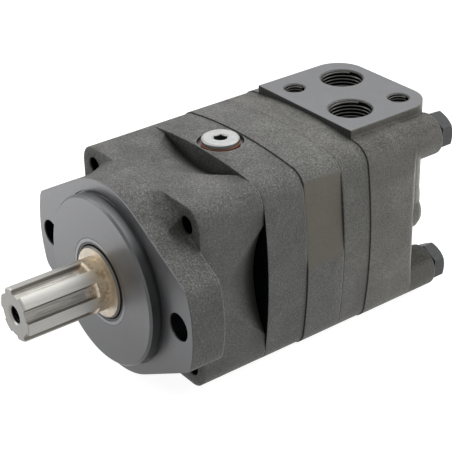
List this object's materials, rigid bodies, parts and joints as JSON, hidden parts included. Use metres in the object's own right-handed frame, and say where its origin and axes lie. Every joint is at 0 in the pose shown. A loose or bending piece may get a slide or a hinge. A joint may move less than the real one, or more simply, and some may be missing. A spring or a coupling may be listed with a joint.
{
  "type": "orbital hydraulic motor",
  "caption": "Orbital hydraulic motor with a two-bolt pilot flange, splined shaft, stacked square body, roller gear set, disc valve and threaded ports on top.",
  "frame": {"origin": "centre of the two flange holes on the flange's front face, on the shaft axis", "axes": "-Y along the output shaft towards its splined end, +Z towards the port pad, +X to the right seen from the shaft's end"},
  "size_m": [0.127, 0.2211, 0.1023],
  "materials": {
    "cast_housing": "as-cast skin with a dark phosphate coat, machined where it seals",
    "gear_ring": "machined, dark phosphate coat",
    "valve_plate": "machined, dark phosphate coat",
    "seal_case": "dark phosphate coat, smooth",
    "seal_rubber": "matt black",
    "backup_plastic": "matt",
    "ground_shaft": "ground",
    "zinc_plug": "bright zinc plate",
    "copper_washer": "dull copper",
    "black_bolts": "black oxide",
    "bearing_cage": "moulded",
    "bearing_steel": "ground",
    "inner_steel": "hardened and ground"
  },
  "bodies": {
    "motor_body": {"front_housing": "cast_housing", "seal_case": "seal_case", "dust_seal": "seal_rubber", "shaft_seal": "seal_rubber", "seal_backup_ring": "backup_plastic", "front_bearing_cup": "bearing_steel", "rear_bearing_cup": "bearing_steel", "bearing_shim": "inner_steel", "intermediate_housing": "cast_housing", "drain_plug": "zinc_plug", "drain_washer": "copper_washer", "roller_ring": "gear_ring", "channel_plate": "valve_plate", "balance_plate": "inner_steel", "balance_front_seal": "seal_rubber", "balance_rear_seal": "seal_rubber", "balance_springs": "inner_steel", "valve_housing": "cast_housing", "tie_bolts": "black_bolts", "section_seal_1": "seal_rubber", "section_seal_2": "seal_rubber", "section_seal_3": "seal_rubber", "section_seal_4": "seal_rubber"},
    "shaft": {"output_shaft": "ground_shaft", "front_bearing_cone": "bearing_steel", "rear_bearing_cone": "bearing_steel"},
    "front_cage": {"front_bearing_cage": "bearing_cage", "front_bearing_rollers": "bearing_steel"},
    "rear_cage": {"rear_bearing_cage": "bearing_cage", "rear_bearing_rollers": "bearing_steel"},
    "orbit_spacer": {"link_spacer": "inner_steel"},
    "rotor": {"rotor": "inner_steel"},
    "cardan": {"cardan_shaft": "inner_steel"},
    "valve_link": {"valve_link": "inner_steel"},
    "disc_valve": {"disc_valve": "inner_steel"},
    "gear_roller_1": {"gear_roller_1": "inner_steel"},
    "gear_roller_2": {"gear_roller_2": "inner_steel"},
    "gear_roller_3": {"gear_roller_3": "inner_steel"},
    "gear_roller_4": {"gear_roller_4": "inner_steel"},
    "gear_roller_5": {"gear_roller_5": "inner_steel"},
    "gear_roller_6": {"gear_roller_6": "inner_steel"},
    "gear_roller_7": {"gear_roller_7": "inner_steel"}
  },
  "joints": [
    {"name": "shaft_spin", "type": "hinge", "parent": "motor_body", "child": "shaft", "pos_m": [0, 0, 0], "axis": [0, -1, 0], "continuous": true},
    {"name": "front_cage_spin", "type": "hinge", "parent": "motor_body", "child": "front_cage", "pos_m": [0, 0.0165, 0], "axis": [0, -1, 0], "continuous": true},
    {"name": "rear_cage_spin", "type": "hinge", "parent": "motor_body", "child": "rear_cage", "pos_m": [0, 0.0395, 0], "axis": [0, -1, 0], "continuous": true},
    {"name": "orbit", "type": "hinge", "parent": "motor_body", "child": "orbit_spacer", "pos_m": [0, 0.0874, 0], "axis": [0, -1, 0], "continuous": true},
    {"name": "rotor_spin", "type": "hinge", "parent": "orbit_spacer", "child": "rotor", "pos_m": [0.003, 0.0865, 0], "axis": [0, -1, 0], "continuous": true},
    {"name": "cardan_spin", "type": "hinge", "parent": "orbit_spacer", "child": "cardan", "pos_m": [0, 0.02355, 0], "axis": [-0.0521, -0.9986, 0], "continuous": true},
    {"name": "valve_link_spin", "type": "hinge", "parent": "orbit_spacer", "child": "valve_link", "pos_m": [0, 0.12095, 0], "axis": [0.1017, -0.9948, 0], "continuous": true},
    {"name": "disc_valve_spin", "type": "hinge", "parent": "motor_body", "child": "disc_valve", "pos_m": [0, 0.121, 0], "axis": [0, -1, 0], "continuous": true},
    {"name": "gear_roller_1_spin", "type": "hinge", "parent": "motor_body", "child": "gear_roller_1", "pos_m": [0.033, 0.0865, 0], "axis": [0, -1, 0], "continuous": true},
    {"name": "gear_roller_2_spin", "type": "hinge", "parent": "motor_body", "child": "gear_roller_2", "pos_m": [0.02058, 0.0865, 0.0258], "axis": [0, -1, 0], "continuous": true},
    {"name": "gear_roller_3_spin", "type": "hinge", "parent": "motor_body", "child": "gear_roller_3", "pos_m": [-0.00734, 0.0865, 0.03217], "axis": [0, -1, 0], "continuous": true},
    {"name": "gear_roller_4_spin", "type": "hinge", "parent": "motor_body", "child": "gear_roller_4", "pos_m": [-0.02973, 0.0865, 0.01432], "axis": [0, -1, 0], "continuous": true},
    {"name": "gear_roller_5_spin", "type": "hinge", "parent": "motor_body", "child": "gear_roller_5", "pos_m": [-0.02973, 0.0865, -0.01432], "axis": [0, -1, 0], "continuous": true},
    {"name": "gear_roller_6_spin", "type": "hinge", "parent": "motor_body", "child": "gear_roller_6", "pos_m": [-0.00734, 0.0865, -0.03217], "axis": [0, -1, 0], "continuous": true},
    {"name": "gear_roller_7_spin", "type": "hinge", "parent": "motor_body", "child": "gear_roller_7", "pos_m": [0.02058, 0.0865, -0.0258], "axis": [0, -1, 0], "continuous": true}
  ],
  "couplings": [
    {"joint": "front_cage_spin", "follows": "shaft_spin", "ratio": 0.43687},
    {"joint": "rear_cage_spin", "follows": "shaft_spin", "ratio": 0.43687},
    {"joint": "orbit", "follows": "shaft_spin", "ratio": -6},
    {"joint": "rotor_spin", "follows": "shaft_spin", "ratio": 7},
    {"joint": "cardan_spin", "follows": "shaft_spin", "ratio": 7},
    {"joint": "valve_link_spin", "follows": "shaft_spin", "ratio": 7},
    {"joint": "disc_valve_spin", "follows": "shaft_spin", "ratio": 1}
  ]
}
